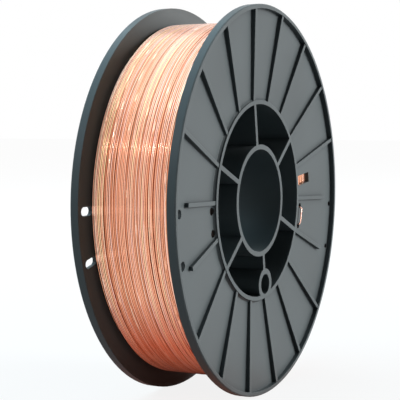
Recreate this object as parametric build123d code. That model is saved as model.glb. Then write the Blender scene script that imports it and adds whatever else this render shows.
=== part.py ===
from build123d import *
import os
from math import cos, radians, sin

# Welding wire spool, 200 mm class: one moulded spool and the copper-coated wire wound on it.
# Millimetres. The spool's axis is Y, its front flange faces -Y, and it stands on its two rims.
# The origin is on the axis, halfway between the rims. Angles run anticlockwise from +X,
# as seen from the front.

# Envelope of the spool
flange_diameter = 200.0
spool_width = 55.0

# Flanges
rim_height = 4.5          # along the axis
rim_wall = 2.2            # radial
rim_chamfer = 0.5
disc_wall = 2.1
disc_dish = 3.2           # how much deeper the disc lies at the barrel than at the rim
disc_root = 1.0           # slope between the disc and the barrel's end

# Barrel, bore tube and the spokes between them
barrel_diameter = 103.4
barrel_wall = 2.1
bore_diameter = 52.8
bore_wall = 2.5
hub_recess = 4.0          # hub end faces below the rim plane
spoke_thickness = 2.4
spoke_count = 6
first_spoke_angle = 38.2

# Drive pin hole, in its own tube on the bottom spoke
drive_hole_diameter = 10.5
drive_hole_offset = 44.5
drive_tube_wall = 2.9
drive_spoke = 4           # counted from the first spoke

# Ribs on the outer side of each flange, some of them in line with the spokes
ribs_per_spoke = 3
rib_thickness = 2.0
rib_drop = 0.3            # rib tops below the rim and below the hub's end faces
short_rib_gap = 12.8      # between the rim and the ends of the ribs beside the anchor holes

# Anchor holes for the wire's ends, in two sectors of each flange: wide holes in one and narrow
# holes in the other. Each has a pair at the barrel and a pair at the rim. A sector lies between
# two ribs, and is counted from the first spoke.
wide_sector = 7
wide_hole_diameter = 3.8
wide_hole_margin = 2.3        # from the barrel to a hole's centre
slot_width = 4.2              # the wide pair at the rim is drawn out to slots
slot_length = 8.4
slot_margin = 0.4             # from the rim to a slot's outer end
narrow_sector = 15
narrow_hole_diameter = 2.7
narrow_inner_margin = 5.2     # from the barrel to a hole's centre
narrow_outer_margin = 2.2     # from the rim to a hole's centre
inner_anchor_spread = 5.8     # degrees each side of the sector's middle
outer_anchor_spread = 7.5
small_circle_sides = 10       # these holes are drawn with few sides

# Window that shows how much wire is left
window_sector = 16
window_margin = 1.6           # from the barrel to the window's inner end
window_length = 15.0
window_width = 5.5

# Wire
wire_diameter = 0.8
unwound_depth = 8.6       # from the flange's edge down to the last layer
coil_edge_width = 2.4     # the last layers stop this far short of the flanges
coil_edge_depth = 2.1
winding_clearance = 0.3
loop_height = 1.2         # wire's centreline above the disc, on its way between two holes
loop_foot = 0.55          # above the disc, where the wire begins to lean over
loop_lean = 1.5           # how far it leans over from there to its top
loop_bend = 1.0
loop_sides = 6
loop_clearance = 0.1      # between the wire and the edge of the hole that it is pulled against

# Sizes that follow from the ones above
half_width = spool_width / 2
rim_radius = flange_diameter / 2
rim_inner_radius = rim_radius - rim_wall
barrel_radius = barrel_diameter / 2
barrel_inner_radius = barrel_radius - barrel_wall
bore_radius = bore_diameter / 2
bore_tube_radius = bore_radius + bore_wall
hub_face = half_width - hub_recess
disc_recess = rim_height - disc_wall
rib_count = spoke_count * ribs_per_spoke
rib_step = 360 / rib_count
wide_hole_place = barrel_radius + wide_hole_margin
slot_end = rim_inner_radius - slot_margin
slot_place = slot_end - slot_length / 2
narrow_inner_place = barrel_radius + narrow_inner_margin
narrow_outer_place = rim_inner_radius - narrow_outer_margin
drive_angle = first_spoke_angle + drive_spoke * 360 / spoke_count
seat = 0.8                # how deep one wall runs into the next, so that they fuse


def dish_share(radius):
    """0 at the rim and 1 at the barrel."""
    return (rim_inner_radius - radius) / (rim_inner_radius - barrel_radius)


def disc_face(radius):
    """Distance of the disc's outer face from the middle plane at a radius."""
    return half_width - disc_recess - disc_dish * dish_share(radius)


def disc_inner_face(radius):
    """Distance of the disc's inner face from the middle plane at a radius."""
    return disc_face(radius) - disc_wall


def rib_top(radius):
    """Distance of a rib's top from the middle plane: it falls from the rim to the hub's end face."""
    return half_width - rib_drop - hub_recess * dish_share(radius)


def sector_angle(sector):
    """Angle of the middle of a sector between two ribs."""
    return first_spoke_angle + (sector + 0.5) * rib_step


def turned(points):
    """A solid of revolution about the spool's axis, from (radius, distance along Y) points."""
    return revolve(Polygon(*points, align=None), Axis.Y)


def mirrored_profile(side):
    """A profile closed by the mirror image of its +Y side."""
    return side + [(radius, -distance) for radius, distance in reversed(side)]


def at_angle(shape, angle):
    """Turn a shape drawn along +X to an angle seen from the front."""
    return Rot(0, -angle, 0) * shape


def axial_cylinder(radius, length, distance=0, angle=0):
    """A cylinder parallel to the axis, at a distance from it and an angle."""
    return at_angle(Pos(distance, 0, 0) * Rot(90, 0, 0) * Cylinder(radius, length), angle)


def barrel_with_flanges():
    """The barrel and both dished discs with their raised rims, turned in one profile."""
    side = [
        (barrel_inner_radius, hub_face),
        (barrel_radius, hub_face),
        (barrel_radius, disc_face(barrel_radius) + disc_root),
        (barrel_radius + disc_root, disc_face(barrel_radius + disc_root)),
        (rim_inner_radius, disc_face(rim_inner_radius)),
        (rim_inner_radius, half_width),
        (rim_radius - rim_chamfer, half_width),
        (rim_radius, half_width - rim_chamfer),
        (rim_radius, half_width - rim_height),
        (rim_inner_radius, half_width - rim_height),
        (barrel_radius, disc_inner_face(barrel_radius)),
    ]
    return turned(mirrored_profile(side))


def bore_tube():
    """The tube that runs on the machine's spindle."""
    return turned(mirrored_profile([(bore_radius, hub_face), (bore_tube_radius, hub_face)]))


def spokes():
    """Flat walls that join the bore tube to the barrel over their whole length."""
    inner = bore_tube_radius - seat
    outer = barrel_inner_radius + seat
    wall = Pos((inner + outer) / 2, 0, 0) * Box(outer - inner, 2 * hub_face, spoke_thickness)
    return [at_angle(wall, first_spoke_angle + turn * 360 / spoke_count) for turn in range(spoke_count)]


def drive_tube():
    """The tube round the drive pin hole, which runs into the barrel's wall."""
    radius = drive_hole_diameter / 2 + drive_tube_wall
    tube = axial_cylinder(radius, 2 * hub_face, drive_hole_offset, drive_angle)
    return tube & axial_cylinder(barrel_inner_radius + seat, 2 * hub_face)


def rib(index):
    """One radial rib on the +Y flange. It ends short of the rim beside a sector of anchor holes."""
    is_short = any(index in (sector, sector + 1) for sector in (wide_sector, narrow_sector))
    start = barrel_radius - seat
    end = rim_inner_radius - short_rib_gap if is_short else rim_inner_radius + seat
    profile = Polygon(
        (start, disc_face(start) - seat),
        (end, disc_face(end) - seat),
        (end, rib_top(end)),
        (start, rib_top(start)),
        align=None,
    )
    blade = extrude(profile, rib_thickness / 2, both=True)
    return at_angle(blade, first_spoke_angle + index * rib_step)


def ribs():
    """The ribs of both flanges."""
    rear = [rib(index) for index in range(rib_count)]
    return rear + [mirror(shape, Plane.XZ) for shape in rear]


def small_circle(diameter):
    """A circle drawn with few sides, which touch the true circle."""
    return RegularPolygon(diameter / 2, small_circle_sides, major_radius=False)


def through_cutters(outline, sector, spread):
    """Cutters through both flanges, one at each side of a sector's middle, from an XY outline."""
    bar = Rot(90, 0, 0) * extrude(outline, spool_width, both=True)
    return [at_angle(bar, sector_angle(sector) + turn) for turn in (-spread, spread)]


def anchor_holes():
    """Cutters for the pairs of holes that hold the wire's ends."""
    wide_hole = Pos(wide_hole_place, 0) * small_circle(wide_hole_diameter)
    slot_run = slot_length - slot_width
    slot_ends = [Pos(shift, 0) * small_circle(slot_width) for shift in (-slot_run / 2, slot_run / 2)]
    slot = Pos(slot_place, 0) * (Rectangle(slot_run, slot_width) + slot_ends)
    narrow_inner_hole = Pos(narrow_inner_place, 0) * small_circle(narrow_hole_diameter)
    narrow_outer_hole = Pos(narrow_outer_place, 0) * small_circle(narrow_hole_diameter)
    return (
        through_cutters(wide_hole, wide_sector, inner_anchor_spread)
        + through_cutters(slot, wide_sector, outer_anchor_spread)
        + through_cutters(narrow_inner_hole, narrow_sector, inner_anchor_spread)
        + through_cutters(narrow_outer_hole, narrow_sector, outer_anchor_spread)
    )


def window():
    """Cutter for the opening that shows the wire, through both flanges."""
    middle = barrel_radius + window_margin + window_length / 2
    outline = Pos(middle, 0) * Rectangle(window_length, window_width)
    return through_cutters(outline, window_sector, 0)[:1]


def spool():
    """The moulded spool: barrel, flanges, ribs, bore tube, spokes and drive tube in one piece."""
    body = barrel_with_flanges() + bore_tube() + spokes() + drive_tube() + ribs()
    drive_hole = axial_cylinder(
        drive_hole_diameter / 2, 2 * spool_width, drive_hole_offset, drive_angle
    )
    return body - drive_hole - anchor_holes() - window()


def wire_coil():
    """The wound wire as one turned solid, its last layers stopping short of the flanges."""
    inner = barrel_radius + winding_clearance
    outer = rim_radius - unwound_depth
    shoulder = outer - coil_edge_depth
    side = [
        (inner, disc_inner_face(inner) - winding_clearance),
        (shoulder, disc_inner_face(shoulder) - winding_clearance),
        (outer, disc_inner_face(outer) - coil_edge_width),
    ]
    return turned(mirrored_profile(side))


def wire_start_loop():
    """The wire's first end: out of one narrow hole of the front flange and back in by the next."""
    spread = radians(inner_anchor_spread)
    pull = (narrow_hole_diameter - wire_diameter) / 2 - loop_clearance
    along = narrow_inner_place * cos(spread)
    across = narrow_inner_place * sin(spread) - pull
    start = disc_inner_face(narrow_inner_place + wire_diameter) - winding_clearance
    foot = disc_face(along) + loop_foot
    top = disc_face(along) + loop_height
    route = FilletPolyline(
        (along, -start, across),
        (along, -foot, across),
        (along, -top, across - loop_lean),
        (along, -top, loop_lean - across),
        (along, -foot, -across),
        (along, -start, -across),
        radius=loop_bend,
    )
    section = Plane(origin=route @ 0, z_dir=route % 0) * RegularPolygon(wire_diameter / 2, loop_sides)
    return at_angle(sweep(section, path=route), sector_angle(narrow_sector))


os.makedirs("parts", exist_ok=True)
export_step(spool(), "parts/spool.step")
export_step(wire_coil(), "parts/wire_coil.step")
export_step(wire_start_loop(), "parts/wire_start_loop.step")
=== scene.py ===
import random
from math import atan2, cos, hypot, radians, sin, tau

import bmesh
import bpy
from mathutils import Matrix, Vector


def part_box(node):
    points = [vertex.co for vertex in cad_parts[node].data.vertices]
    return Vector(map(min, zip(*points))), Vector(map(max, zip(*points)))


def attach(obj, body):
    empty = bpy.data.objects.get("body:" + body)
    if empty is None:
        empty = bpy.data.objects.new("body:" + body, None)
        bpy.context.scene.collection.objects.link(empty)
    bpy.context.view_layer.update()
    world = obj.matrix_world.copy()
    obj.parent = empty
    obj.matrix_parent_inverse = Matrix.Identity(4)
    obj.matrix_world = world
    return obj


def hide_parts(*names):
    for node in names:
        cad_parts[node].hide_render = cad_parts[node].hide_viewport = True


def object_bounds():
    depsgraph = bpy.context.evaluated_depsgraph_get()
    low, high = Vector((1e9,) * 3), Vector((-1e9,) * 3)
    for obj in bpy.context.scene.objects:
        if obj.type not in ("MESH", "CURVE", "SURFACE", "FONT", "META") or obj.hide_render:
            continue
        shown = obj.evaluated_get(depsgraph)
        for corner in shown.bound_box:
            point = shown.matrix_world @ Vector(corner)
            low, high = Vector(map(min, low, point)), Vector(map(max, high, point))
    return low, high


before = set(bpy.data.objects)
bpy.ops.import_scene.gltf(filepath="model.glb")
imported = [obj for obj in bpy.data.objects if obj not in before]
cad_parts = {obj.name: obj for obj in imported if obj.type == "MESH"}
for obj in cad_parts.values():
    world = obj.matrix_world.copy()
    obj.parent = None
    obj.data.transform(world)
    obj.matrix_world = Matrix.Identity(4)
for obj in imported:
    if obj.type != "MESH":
        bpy.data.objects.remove(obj)        # bodies, nodes, joints and record, in metres
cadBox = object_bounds()
mm = 0.001


def mix(a, b, share):
    return a + (b - a) * share


def easeInOut(share):
    share = min(1.0, max(0.0, share))
    return share * share * (3 - 2 * share)


def addMesh(name, bm, material):
    mesh = bpy.data.meshes.new(name)
    bm.to_mesh(mesh)
    bm.free()
    mesh.materials.append(material)
    for polygon in mesh.polygons:
        polygon.use_smooth = True
    piece = bpy.data.objects.new(name, mesh)
    bpy.context.scene.collection.objects.link(piece)
    return piece


# Shader helpers

def newMaterial(name):
    material = bpy.data.materials.new(name)
    material.use_nodes = True
    material.node_tree.nodes.clear()
    return material, material.node_tree


def addNode(tree, kind, inputs=None, **settings):
    # an input is another node's output, which is linked, or a plain value
    node = tree.nodes.new(kind)
    for key, value in settings.items():
        setattr(node, key, value)
    for key, value in (inputs or {}).items():
        if isinstance(value, bpy.types.NodeSocket):
            tree.links.new(value, node.inputs[key])
        else:
            node.inputs[key].default_value = value
    return node


def addRamp(tree, factor, stops):
    ramp = addNode(tree, "ShaderNodeValToRGB", {"Fac": factor})
    elements = ramp.color_ramp.elements
    while len(elements) < len(stops):
        elements.new(0.5)
    for element, (place, colour) in zip(elements, stops):
        element.position = place
        element.color = colour
    return ramp.outputs["Color"]


def addNoise(tree, place, scale, detail):
    inputs = {"Vector": place, "Scale": scale, "Detail": detail}
    return addNode(tree, "ShaderNodeTexNoise", inputs).outputs["Fac"]


def mapNumber(tree, value, source, target=(0.0, 1.0)):
    inputs = {"Value": value, "From Min": source[0], "From Max": source[1],
              "To Min": target[0], "To Max": target[1]}
    return addNode(tree, "ShaderNodeMapRange", inputs).outputs[0]


def calculate(tree, operation, a, b, clamp=False):
    return addNode(tree, "ShaderNodeMath", {0: a, 1: b}, operation=operation, use_clamp=clamp).outputs[0]


def calculateVector(tree, operation, inputs, result="Vector"):
    return addNode(tree, "ShaderNodeVectorMath", inputs, operation=operation).outputs[result]


def mixNumbers(tree, factor, a, b):
    return addNode(tree, "ShaderNodeMix", {"Factor": factor, "A": a, "B": b}).outputs[0]


def mixColours(tree, factor, a, b):
    # inputs 6 and 7 and output 2 are a Mix node's colours
    return addNode(tree, "ShaderNodeMix", {"Factor": factor, 6: a, 7: b}, data_type="RGBA").outputs[2]


def newGroup(name, inputs, outputs):
    group = bpy.data.node_groups.new(name, "ShaderNodeTree")
    for label, value in inputs.items():
        socket = group.interface.new_socket(label, in_out="INPUT", socket_type="NodeSocketFloat")
        socket.default_value = value
    for label, kind in outputs.items():
        group.interface.new_socket(label, in_out="OUTPUT", socket_type=kind)
    return group, group.nodes.new("NodeGroupInput").outputs, group.nodes.new("NodeGroupOutput").inputs


def useGroup(tree, group, inputs):
    return addNode(tree, "ShaderNodeGroup", inputs, node_tree=group).outputs


# Effects that materials share

surfaceDetail = {
    "patches": 5.0,             # detail of each noise
    "grain": 2.0,
}


def makeSurfaceGrain(settings):
    # wide patches for tone and roughness, and a fine grain for relief
    group, given, result = newGroup(
        "surface_grain", {"Patches": 20.0, "Grain": 2000.0},
        {"Tone": "NodeSocketFloat", "Height": "NodeSocketFloat"})
    place = addNode(group, "ShaderNodeTexCoord").outputs["Object"]
    group.links.new(addNoise(group, place, given["Patches"], settings["patches"]), result["Tone"])
    group.links.new(addNoise(group, place, given["Grain"], settings["grain"]), result["Height"])
    return group


formMasks = {
    "edgeTurn": (0.99, 0.80),       # cosine between the rounded and the flat normal, up to a full edge
    "openness": (1.0, 0.35),        # from open down to a corner in full painted shade
    "edgeSamples": 4,
    "creaseSamples": 8,
}


def makeEdgesAndCreases(settings):
    # where rounded edges get a painted highlight, where corners get painted shade, and the rounded
    # normal
    group, given, result = newGroup(
        "edges_and_creases", {"Edge Radius": 0.4 * mm, "Crease Reach": 3.0 * mm},
        {"Edge": "NodeSocketFloat", "Crease": "NodeSocketFloat", "Normal": "NodeSocketVector"})
    rounded = addNode(group, "ShaderNodeBevel", {"Radius": given["Edge Radius"]},
                      samples=settings["edgeSamples"]).outputs[0]
    flat = addNode(group, "ShaderNodeNewGeometry").outputs["Normal"]
    turn = calculateVector(group, "DOT_PRODUCT", {0: rounded, 1: flat}, "Value")
    # ambient occlusion, from which corners and creases get painted shade
    openness = addNode(group, "ShaderNodeAmbientOcclusion", {"Distance": given["Crease Reach"]},
                       samples=settings["creaseSamples"], only_local=True).outputs["AO"]
    edge = mapNumber(group, turn, settings["edgeTurn"])
    crease = mapNumber(group, openness, settings["openness"])
    group.links.new(calculate(group, "SUBTRACT", edge, crease, clamp=True), result["Edge"])
    group.links.new(crease, result["Crease"])
    group.links.new(rounded, result["Normal"])
    return group


surfaceGrain = makeSurfaceGrain(surfaceDetail)
edgesAndCreases = makeEdgesAndCreases(formMasks)


# Camera: where the photograph was taken from

cameraView = {
    "azimuth": -63.94,      # degrees from the front, towards -X
    "elevation": 3.55,
    "distance": 0.600,
    "focal": 1142.8,        # in pixels of the picture
    "aimRight": -0.0103,    # the point aimed at, from the origin
    "aimUp": -0.0004,
    "picture": 400,
    "sensor": 36.0,         # width, in millimetres
    "clip": (0.01, 50.0),
}


def placeCamera(view):
    azimuth, elevation = radians(view["azimuth"]), radians(view["elevation"])
    back = Vector((sin(azimuth) * cos(elevation), -cos(azimuth) * cos(elevation), sin(elevation)))
    right = Vector((0, 0, 1)).cross(back).normalized()
    up = back.cross(right)
    place = back * view["distance"]
    aim = right * view["aimRight"] + up * view["aimUp"]
    lens = bpy.data.cameras.new("studio_camera")
    lens.sensor_width = view["sensor"]
    lens.lens = view["focal"] * view["sensor"] / view["picture"]
    lens.clip_start, lens.clip_end = view["clip"]
    camera = bpy.data.objects.new("studio_camera", lens)
    camera.location = place
    camera.rotation_euler = (aim - place).to_track_quat("-Z", "Y").to_euler()
    bpy.context.scene.collection.objects.link(camera)
    bpy.context.scene.camera = camera


placeCamera(cameraView)
print("camera placed")


# Studio: pale floor, soft lamps and a plain world

studio = {
    "floorSize": 12.0,
    "floorColour": (0.14, 0.14, 0.14, 1),
    "glow": ((0.86, 0.86, 0.86, 1), (0.97, 0.97, 0.97, 1)),     # as the camera sees it, near and far
    "glowReach": (0.0, 1.10),   # away from the middle
    "mirrored": (               # as the object mirrors it: shaded and warm beside it, then white
        (0.0, (0.04, 0.006, 0.004, 1)),
        (0.42, (0.52, 0.21, 0.15, 1)),
        (1.0, (1.0, 1.0, 1.0, 1)),
    ),
    "mirroredReach": (0.010, 0.12),
    "worldColour": (1.0, 1.0, 1.0, 1),
    "worldLight": 0.03,         # on the object; the backdrop itself is seen at 1
    "lamps": (
        # name, place, size, power, colour
        ("key_lamp", (1.15, -1.95, 0.55), 0.9, 57.0, (1.0, 1.0, 1.0)),
        ("top_lamp", (-0.04, 0.62, 1.24), 1.8, 22.5, (0.58, 0.87, 1.0)),
        ("side_lamp", (-1.10, 0.60, 0.35), 1.3, 1.3, (0.90, 0.96, 1.0)),
        ("band_lamp", (-0.79, 0.44, 0.52), 0.04, 0.7, (0.85, 0.93, 1.0)),
    ),
}


def seenDirectly(tree):
    # 1 for camera, glossy and transmission rays, which all show the white backdrop
    path = addNode(tree, "ShaderNodeLightPath").outputs
    seen = path["Is Camera Ray"]
    for ray in ("Is Glossy Ray", "Is Transmission Ray"):
        seen = calculate(tree, "ADD", seen, path[ray], clamp=True)
    return seen


def floorGlow(tree, settings):
    # white far away, and dimmer under the object, where a real floor is shaded
    place = addNode(tree, "ShaderNodeTexCoord").outputs["Object"]
    level = calculateVector(tree, "MULTIPLY", {0: place, 1: (1, 1, 0)})
    away = calculateVector(tree, "LENGTH", {0: level}, "Value")
    glow = mixColours(tree, mapNumber(tree, away, settings["glowReach"]), *settings["glow"])
    mirrored = addRamp(tree, mapNumber(tree, away, settings["mirroredReach"]), settings["mirrored"])
    cameraRay = addNode(tree, "ShaderNodeLightPath").outputs["Is Camera Ray"]
    return mixColours(tree, cameraRay, mirrored, glow)


def layFloor(settings):
    material, tree = newMaterial("studio_floor")
    matt = addNode(tree, "ShaderNodeBsdfDiffuse", {"Color": settings["floorColour"]})
    shine = addNode(tree, "ShaderNodeEmission",
                    {"Color": floorGlow(tree, settings), "Strength": seenDirectly(tree)})
    both = addNode(tree, "ShaderNodeAddShader", {0: matt.outputs[0], 1: shine.outputs[0]})
    addNode(tree, "ShaderNodeOutputMaterial", {"Surface": both.outputs[0]})
    bm = bmesh.new()
    bmesh.ops.create_grid(bm, x_segments=1, y_segments=1, size=settings["floorSize"])
    bmesh.ops.translate(bm, verts=bm.verts, vec=(0, 0, cadBox[0].z))
    addMesh("floor", bm, material)


def lightWorld(settings):
    world = bpy.data.worlds.new("studio_world")
    bpy.context.scene.world = world
    world.use_nodes = True
    tree = world.node_tree
    tree.nodes.clear()
    strength = mapNumber(tree, seenDirectly(tree), (0.0, 1.0), (settings["worldLight"], 1.0))
    sky = addNode(tree, "ShaderNodeBackground", {"Color": settings["worldColour"], "Strength": strength})
    addNode(tree, "ShaderNodeOutputWorld", {"Surface": sky.outputs[0]})


def hangLamps(settings):
    for name, place, size, power, colour in settings["lamps"]:
        lamp = bpy.data.lights.new(name, "AREA")
        lamp.color = colour
        lamp.size = size
        lamp.energy = power
        holder = bpy.data.objects.new(name, lamp)
        holder.location = place
        holder.rotation_euler = (-Vector(place)).to_track_quat("-Z", "Y").to_euler()
        bpy.context.scene.collection.objects.link(holder)


layFloor(studio)
lightWorld(studio)
hangLamps(studio)
bpy.context.scene.view_settings.view_transform = "Standard"
print("studio built")


# Spool: dark grey moulded plastic

plastic = {
    "colour": (0.104, 0.123, 0.128),
    # painted shade: corners and creases are darkened towards this colour
    "paintedShadeColour": (0.030, 0.038, 0.042, 1),
    # painted highlight: rounded edges are paled towards this colour
    "edgeHighlightedColour": (0.165, 0.190, 0.196, 1),
    "shade": (0.90, 1.10),      # darker and paler patches
    "roughness": (0.34, 0.48),
    "shine": 0.19,
    "edge": 0.35 * mm,          # radius of the moulded edges
    "crease": 4.0 * mm,         # how far the painted shade reaches out of a corner
    "paintedShadeDepth": 0.75,
    # how strongly rounded edges take the painted highlight
    "edgeHighlight": 0.55,
    "mottle": 26.0,             # patches to a metre
    "grain": 2600.0,
    "grainDepth": 0.12,
    "grainHeight": 0.02 * mm,
    "flow": 9.0,                # streaks round the axis, where the melt ran outwards
    "flowDetail": 4.0,
    "flowDepth": 0.10,
    "noise": (0.3, 0.7),        # the part of the noise's range that is used
}


def aroundAxis(tree):
    # the same along each radius, so that noise on it makes radial streaks
    place = addNode(tree, "ShaderNodeTexCoord").outputs["Object"]
    flat = calculateVector(tree, "MULTIPLY", {0: place, 1: (1, 0, 1)})
    return calculateVector(tree, "NORMALIZE", {0: flat})


def plasticMaterial(settings):
    material, tree = newMaterial("spool_plastic")
    form = useGroup(tree, edgesAndCreases,
                    {"Edge Radius": settings["edge"], "Crease Reach": settings["crease"]})
    skin = useGroup(tree, surfaceGrain, {"Patches": settings["mottle"], "Grain": settings["grain"]})
    flow = addNoise(tree, aroundAxis(tree), settings["flow"], settings["flowDetail"])

    tone = mixNumbers(tree, settings["flowDepth"], skin["Tone"], flow)
    shade = mapNumber(tree, tone, settings["noise"], settings["shade"])
    plain = calculateVector(tree, "SCALE", {0: settings["colour"], "Scale": shade})
    # painted highlight on rounded edges
    edgeHighlighting = calculate(tree, "MULTIPLY", form["Edge"], settings["edgeHighlight"])
    edgeHighlighted = mixColours(tree, edgeHighlighting, plain, settings["edgeHighlightedColour"])
    # painted shade in corners and creases
    shading = calculate(tree, "MULTIPLY", form["Crease"], settings["paintedShadeDepth"])
    colour = mixColours(tree, shading, edgeHighlighted, settings["paintedShadeColour"])

    rough = mapNumber(tree, skin["Tone"], settings["noise"], settings["roughness"])
    bump = addNode(tree, "ShaderNodeBump", {
        "Strength": settings["grainDepth"], "Distance": settings["grainHeight"],
        "Height": skin["Height"], "Normal": form["Normal"]})
    finish = addNode(tree, "ShaderNodeBsdfPrincipled", {
        "Base Color": colour, "Roughness": rough, "Normal": bump.outputs[0],
        "Specular IOR Level": settings["shine"]})
    addNode(tree, "ShaderNodeOutputMaterial", {"Surface": finish.outputs[0]})
    return material


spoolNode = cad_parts["spool"]
spoolNode.data.materials.clear()
spoolNode.data.materials.append(plasticMaterial(plastic))
print("spool finished")


# Wire: copper-coated, its colour changing along its length

copper = {
    "tints": (
        (0.31, (0.66, 0.23, 0.10, 1)),
        (0.43, (0.92, 0.40, 0.22, 1)),
        (0.50, (0.96, 0.49, 0.32, 1)),
        (0.57, (0.95, 0.54, 0.43, 1)),
        (0.69, (1.00, 0.66, 0.38, 1)),
    ),
    "tintsPerTurn": 1.3,
    "tintDetail": 3.0,
    "roughness": (0.12, 0.26),
    "film": 1.0,                # clear drawing film over the copper
    "filmRoughness": 0.16,
    "patches": 40.0,            # wide changes of finish, to a metre
    "patchShare": 0.5,          # of the finish, beside what changes with the tint
    "marks": 3200.0,            # fine marks left by the drawing die
    "marksDepth": 0.10,
    "marksHeight": 0.01 * mm,
    "noise": (0.35, 0.65),      # the part of the noise's range that is used
}


def copperMaterial(settings):
    material, tree = newMaterial("copper_coated_wire")
    travel = addNode(tree, "ShaderNodeAttribute", attribute_name="wireTravel").outputs["Fac"]
    place = calculate(tree, "MULTIPLY", travel, settings["tintsPerTurn"])
    tint = addNode(tree, "ShaderNodeTexNoise",
                   {"W": place, "Scale": 1.0, "Detail": settings["tintDetail"]},
                   noise_dimensions="1D").outputs["Fac"]
    skin = useGroup(tree, surfaceGrain, {"Patches": settings["patches"], "Grain": settings["marks"]})
    finishTone = mixNumbers(tree, settings["patchShare"], tint, skin["Tone"])
    rough = mapNumber(tree, finishTone, settings["noise"], settings["roughness"])
    bump = addNode(tree, "ShaderNodeBump", {
        "Strength": settings["marksDepth"], "Distance": settings["marksHeight"],
        "Height": skin["Height"]})
    finish = addNode(tree, "ShaderNodeBsdfPrincipled", {
        "Base Color": addRamp(tree, tint, settings["tints"]), "Metallic": 1.0,
        "Roughness": rough, "Normal": bump.outputs[0],
        "Coat Weight": settings["film"], "Coat Roughness": settings["filmRoughness"]})
    addNode(tree, "ShaderNodeOutputMaterial", {"Surface": finish.outputs[0]})
    return material


copperFinish = copperMaterial(copper)


# Winding: the last two layers turn by turn, each a spun ring that steps over to the next place

winding = {
    "seed": 11,
    "wire": 0.8 * mm,
    "weld": 0.016 * mm,         # vertices nearer than this are merged
    "sides": 6,
    "stations": 144,            # round one turn
    "layers": (
        # half: from the middle to the outermost turns' lines; depth: under the coil's edge
        {"turns": 50, "half": 20.5 * mm, "depth": 1.1 * mm},
        {"turns": 46, "half": 19.6 * mm, "depth": 0.4 * mm},
    ),
    "gapWeights": (0.04, 0.04, 0.06, 0.10, 0.16, 0.40, 1.0),
    "gapWaves": (1, 3),         # how often a gap opens and closes round the coil
    "leastGap": 0.01,           # beside the weights
    "jogStart": 3.6,            # where a turn steps over, in radians
    "jogLength": 0.9,
    "lift": 0.07 * mm,          # up and down on the layer below
    "liftWaves": (2, 5),        # to a turn
    "waver": 0.03 * mm,         # sideways
    "waverWaves": 7,            # to a wave of the lift
}
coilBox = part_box("wire_coil")
coilRadius = coilBox[1].x


def newWire():
    bm = bmesh.new()
    bm.verts.layers.float.new("wireTravel")     # in turns, for the tint along the wire
    return bm


def spunTurn(settings):
    # a turn whose rings of vertices lie in order; it stays open, because its end steps aside
    bm = bmesh.new()
    bmesh.ops.create_circle(bm, segments=settings["sides"], radius=winding["wire"] / 2)
    bmesh.ops.translate(bm, verts=bm.verts, vec=(coilRadius, 0, 0))
    bmesh.ops.spin(bm, geom=bm.verts[:] + bm.edges[:], cent=(0, 0, 0), axis=(0, 1, 0), angle=tau,
                   steps=settings["stations"], use_merge=False)
    mesh = bpy.data.meshes.new("turn")
    bm.to_mesh(mesh)
    bm.free()
    return mesh


def addTurn(bm, turnMesh, settings, firstTravel, route):
    # route gives a ring's radius and distance along the axis at each station
    sides, stations = settings["sides"], settings["stations"]
    first = len(bm.verts)
    bm.from_mesh(turnMesh)
    bm.verts.ensure_lookup_table()
    travelLayer = bm.verts.layers.float["wireTravel"]
    for station in range(stations + 1):
        angle = tau * station / stations
        radius, distance = route(station)
        outward = Vector((cos(angle), 0, -sin(angle)))
        shift = outward * (radius - coilRadius) + Vector((0, distance, 0))
        start = first + station * sides
        for vertex in bm.verts[start:start + sides]:
            vertex.co += shift
            vertex[travelLayer] = firstTravel + station / stations


def spreadTurns(layer, settings, rng):
    # where each turn of a layer lies at each station, as gaps open and close round the coil
    gaps = [(rng.choice(settings["gapWeights"]), rng.randint(*settings["gapWaves"]), rng.uniform(0, tau))
            for _ in range(layer["turns"] - 1)]
    slack = 2 * layer["half"] - len(gaps) * settings["wire"]
    rows = []
    for station in range(settings["stations"] + 1):
        angle = tau * station / settings["stations"]
        widths = [weight * (0.5 + 0.5 * sin(waves * angle + phase)) ** 2 + settings["leastGap"]
                  for weight, waves, phase in gaps]
        total = sum(widths)
        row = [-layer["half"]]
        for width in widths:
            row.append(row[-1] + settings["wire"] + width * slack / total)
        rows.append(row)
    return rows


def layTurns(settings):
    # radius, places at the stations, and the phase and waves of the lift, of each turn in order
    rng = random.Random(settings["seed"])
    turns = []
    for number, layer in enumerate(settings["layers"]):
        rows = spreadTurns(layer, settings, rng)
        order = range(layer["turns"]) if number % 2 == 0 else reversed(range(layer["turns"]))
        radius = coilRadius - layer["depth"]
        for index in order:
            phase, waves = rng.uniform(0, tau), rng.randint(*settings["liftWaves"])
            turns.append((radius, [row[index] for row in rows], phase, waves))
    return turns


def windLayers(settings):
    turns = layTurns(settings)
    turnMesh = spunTurn(settings)
    bm = newWire()

    def ringPlace(number, station):
        radius, row, phase, waves = turns[number]
        angle = tau * station / settings["stations"]
        lift = settings["lift"] * sin(waves * angle + phase)
        waver = settings["waver"] * sin(settings["waverWaves"] * waves * angle + phase)
        return radius + lift, row[station] + waver

    for number in range(len(turns) - 1):
        def route(station):
            angle = tau * station / settings["stations"]
            step = easeInOut((angle - settings["jogStart"]) / settings["jogLength"])
            here, there = ringPlace(number, station), ringPlace(number + 1, station)
            return mix(here[0], there[0], step), mix(here[1], there[1], step)
        addTurn(bm, turnMesh, settings, number, route)
    bmesh.ops.remove_doubles(bm, verts=bm.verts, dist=settings["weld"])
    openEdges = [edge for edge in bm.edges if edge.is_boundary]
    bmesh.ops.holes_fill(bm, edges=openEdges, sides=settings["sides"])
    bmesh.ops.recalc_face_normals(bm, faces=bm.faces)
    return addMesh("winding_outer", bm, copperFinish)


# Ends of the hidden layers: their outermost turns at both flanges, over a plain core

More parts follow.
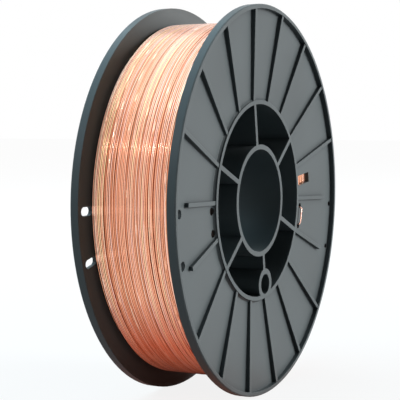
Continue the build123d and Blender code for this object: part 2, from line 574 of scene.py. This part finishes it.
windingEnds = {
    "sides": 5,
    "stations": 96,
    "shoulder": 2.1 * mm,       # the last layers lie above this depth
    "firstRow": 0.24 * mm,      # above the shoulder
    "innerRadius": 52.3 * mm,
    "slope": 3.2 / 46.1,        # of the flanges' inner faces
    "rowHeight": 0.72 * mm,
    "stagger": 0.13 * mm,       # of every other row, away from the flange
    "sideClearance": 0.05 * mm,
    "rowTravel": (200.0, 3.7),  # where the rows' tints start, and how far apart
    "coreDepth": 1.7 * mm,      # of the plain core under the turns
    "coreInset": 0.9 * mm,      # of the core's sides behind the rows' outer edges
    "coreTopInset": 1.6 * mm,   # of the core's top edge
    "coreSteps": 120,
    "coreTravel": 190.0,
}


def halfWidth(settings, radius):
    # from the middle to the rows' outer edges, along the flanges' dished inner faces
    shoulderRadius = coilRadius - settings["shoulder"]
    return coilBox[1].y - (shoulderRadius - radius) * settings["slope"] - settings["sideClearance"]


def spinCore(bm, settings):
    coreFoot, coreTop = settings["innerRadius"], coilRadius - settings["coreDepth"]
    shoulderRadius = coilRadius - settings["shoulder"]
    corners = [
        (coreFoot, halfWidth(settings, coreFoot) - settings["coreInset"]),
        (shoulderRadius, halfWidth(settings, shoulderRadius) - settings["coreInset"]),
        (coreTop, halfWidth(settings, shoulderRadius) - settings["coreTopInset"]),
    ]
    corners += [(radius, -distance) for radius, distance in reversed(corners)]
    outline = [bm.verts.new((radius, distance, 0)) for radius, distance in corners]
    edges = [bm.edges.new((outline[index - 1], corner)) for index, corner in enumerate(outline)]
    travelLayer = bm.verts.layers.float["wireTravel"]
    for vertex in outline:
        vertex[travelLayer] = settings["coreTravel"]
    bmesh.ops.spin(bm, geom=outline + edges, cent=(0, 0, 0), axis=(0, 1, 0), angle=tau,
                   steps=settings["coreSteps"], use_merge=True)


def windEnds(settings):
    wire = winding["wire"]
    turnMesh = spunTurn(settings)
    bm = newWire()
    radius = coilRadius - settings["shoulder"] + settings["firstRow"]
    firstTravel, travelStep = settings["rowTravel"]
    number = 0
    while radius > settings["innerRadius"]:
        distance = halfWidth(settings, radius) - wire / 2 - settings["stagger"] * (number % 2)
        for side in (-1, 1):
            addTurn(bm, turnMesh, settings, firstTravel + travelStep * number + side,
                    lambda station: (radius, side * distance))
        radius -= settings["rowHeight"]
        number += 1
    spinCore(bm, settings)
    bmesh.ops.remove_doubles(bm, verts=bm.verts, dist=winding["weld"])
    bmesh.ops.recalc_face_normals(bm, faces=bm.faces)
    return addMesh("winding_ends", bm, copperFinish)


# The wire's first end: out of one narrow hole, over, and back in by the next

startLoop = {
    "sides": 12,
    "halfSpan": 4.86 * mm,      # from the middle to a leg's line, at the facing edge of its hole
    "legCover": 0.1 * mm,       # how far short of the solid's own end a leg ends
    "rise": 0.15 * mm,          # above the disc, where a leg begins to bend
    "bends": ((0.8 * mm, 68), (1.6 * mm, 22)),      # radius and degrees, from the leg to the top
    "lean": 0.7 * mm,           # straight between the bends
    "bendStep": 8,              # degrees
    "leastSteps": 3,
    "discDepth": 5.26 * mm,     # of the disc below the rim, beside the holes
    "weld": 0.001 * mm,         # between the two halves
    "travel": 0.4,              # for the tint, at the middle
}


def extendRing(bm, ring, shift):
    grown = bmesh.ops.extrude_edge_only(bm, edges=ring)["geom"]
    corners = [part for part in grown if isinstance(part, bmesh.types.BMVert)]
    bmesh.ops.translate(bm, verts=corners, vec=shift)
    return [part for part in grown if isinstance(part, bmesh.types.BMEdge) and part.is_boundary]


def bendRing(bm, ring, centre, degrees, settings):
    corners = list({vertex for edge in ring for vertex in edge.verts})
    steps = max(settings["leastSteps"], round(degrees / settings["bendStep"]))
    grown = bmesh.ops.spin(bm, geom=corners + ring, cent=centre, axis=(1, 0, 0), angle=radians(degrees),
                           steps=steps, use_merge=False)["geom_last"]
    return [part for part in grown if isinstance(part, bmesh.types.BMEdge)]


def bendHalfLoop(bm, settings, legEnd, legTop):
    # from the end of a leg to the middle of the loop's top, in the plane of Y and Z
    bmesh.ops.create_circle(bm, segments=settings["sides"], radius=winding["wire"] / 2)
    bmesh.ops.rotate(bm, verts=bm.verts, matrix=Matrix.Rotation(radians(90), 3, "X"))
    bmesh.ops.translate(bm, verts=bm.verts, vec=(0, legEnd, settings["halfSpan"]))
    ring = extendRing(bm, bm.edges[:], (0, legTop - legEnd, 0))
    y, z, heading = legTop, settings["halfSpan"], 0.0       # heading turns from -Y towards -Z
    for number, (radius, degrees) in enumerate(settings["bends"]):
        centre = (0, y + radius * sin(heading), z - radius * cos(heading))
        ring = bendRing(bm, ring, centre, degrees, settings)
        heading += radians(degrees)
        y = centre[1] - radius * sin(heading)
        z = centre[2] + radius * cos(heading)
        if number == 0:
            shift = (0, -settings["lean"] * cos(heading), -settings["lean"] * sin(heading))
            ring = extendRing(bm, ring, shift)
            y, z = y + shift[1], z + shift[2]
    extendRing(bm, ring, (0, 0, -z))


def bendStartLoop(settings):
    # half of the loop is bent and mirrored, and the whole is turned to where the solid's loop is
    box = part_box("wire_start_loop")
    middle = (box[0] + box[1]) / 2
    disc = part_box("spool")[0].y + settings["discDepth"]
    bm = newWire()
    bendHalfLoop(bm, settings, box[1].y - settings["legCover"], disc - settings["rise"])
    bmesh.ops.mirror(bm, geom=bm.verts[:] + bm.edges[:] + bm.faces[:], matrix=Matrix(),
                     merge_dist=settings["weld"], axis="Z")
    bmesh.ops.holes_fill(bm, edges=[edge for edge in bm.edges if edge.is_boundary], sides=0)
    bmesh.ops.recalc_face_normals(bm, faces=bm.faces)
    travelLayer = bm.verts.layers.float["wireTravel"]
    for vertex in bm.verts:
        vertex[travelLayer] = settings["travel"] + vertex.co.z / (tau * coilRadius)
    bmesh.ops.translate(bm, verts=bm.verts, vec=(hypot(middle.x, middle.z), 0, 0))
    turn = Matrix.Rotation(-atan2(middle.z, middle.x), 3, "Y")
    bmesh.ops.rotate(bm, verts=bm.verts, matrix=turn)
    return addMesh("start_loop", bm, copperFinish)


outerWinding = windLayers(winding)
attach(outerWinding, "root")
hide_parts("wire_coil")
endWinding = windEnds(windingEnds)
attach(endWinding, "root")
firstEnd = bendStartLoop(startLoop)
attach(firstEnd, "root")
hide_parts("wire_start_loop")
print("wire wound")
